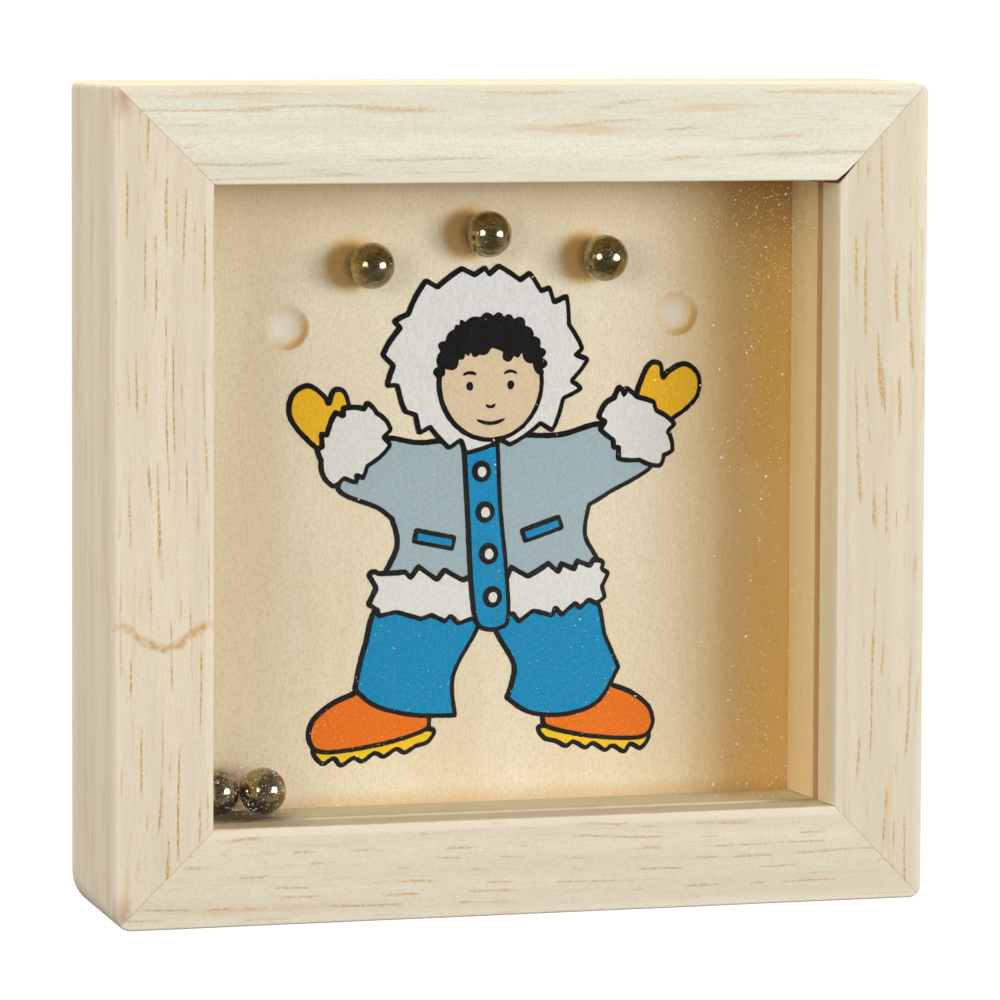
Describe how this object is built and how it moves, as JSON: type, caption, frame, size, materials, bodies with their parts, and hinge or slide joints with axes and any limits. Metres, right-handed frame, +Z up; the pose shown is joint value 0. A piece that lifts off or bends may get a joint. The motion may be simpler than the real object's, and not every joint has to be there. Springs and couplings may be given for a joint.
{
  "type": "tilt maze game",
  "caption": "Square wooden dexterity puzzle: a mitred frame holds a clear pane over a dimpled, printed board, and loose steel balls roll between them.",
  "frame": {"origin": "middle of the underside of the frame, which stands upright on its bottom rail", "axes": "+X to the right as seen from the front, +Y from the clear pane to the backing board, +Z up the picture"},
  "size_m": [0.09, 0.018, 0.088],
  "materials": {
    "frame_wood": "satin",
    "board_plywood": "matte",
    "clear_acrylic": "gloss",
    "ball_steel": "polished",
    "print_ink": "matte"
  },
  "bodies": {
    "case": {"rail_bottom": "frame_wood", "rail_right": "frame_wood", "rail_top": "frame_wood", "rail_left": "frame_wood", "window_pane": "clear_acrylic", "backing_board": "board_plywood"},
    "ball_1": {"ball_1": "ball_steel"},
    "ball_2": {"ball_2": "ball_steel"},
    "ball_3": {"ball_3": "ball_steel"},
    "ball_4": {"ball_4": "ball_steel"},
    "ball_5": {"ball_5": "ball_steel"}
  },
  "joints": [
    {"name": "ball_1_roll", "type": "slide", "parent": "case", "child": "ball_1", "axis": [0, -0.048, -0.9988], "range_m": [0, 0.0553]},
    {"name": "ball_2_roll", "type": "slide", "parent": "case", "child": "ball_2", "axis": [0, -0.048, -0.9988], "range_m": [0, 0.0586]},
    {"name": "ball_3_roll", "type": "slide", "parent": "case", "child": "ball_3", "axis": [0, -0.048, -0.9988], "range_m": [0, 0.0559]},
    {"name": "ball_4_roll", "type": "slide", "parent": "case", "child": "ball_4", "axis": [0, 0, 1], "range_m": [0, 0.0618]},
    {"name": "ball_5_roll", "type": "slide", "parent": "case", "child": "ball_5", "axis": [1, 0, 0], "range_m": [0, 0.0586]}
  ]
}
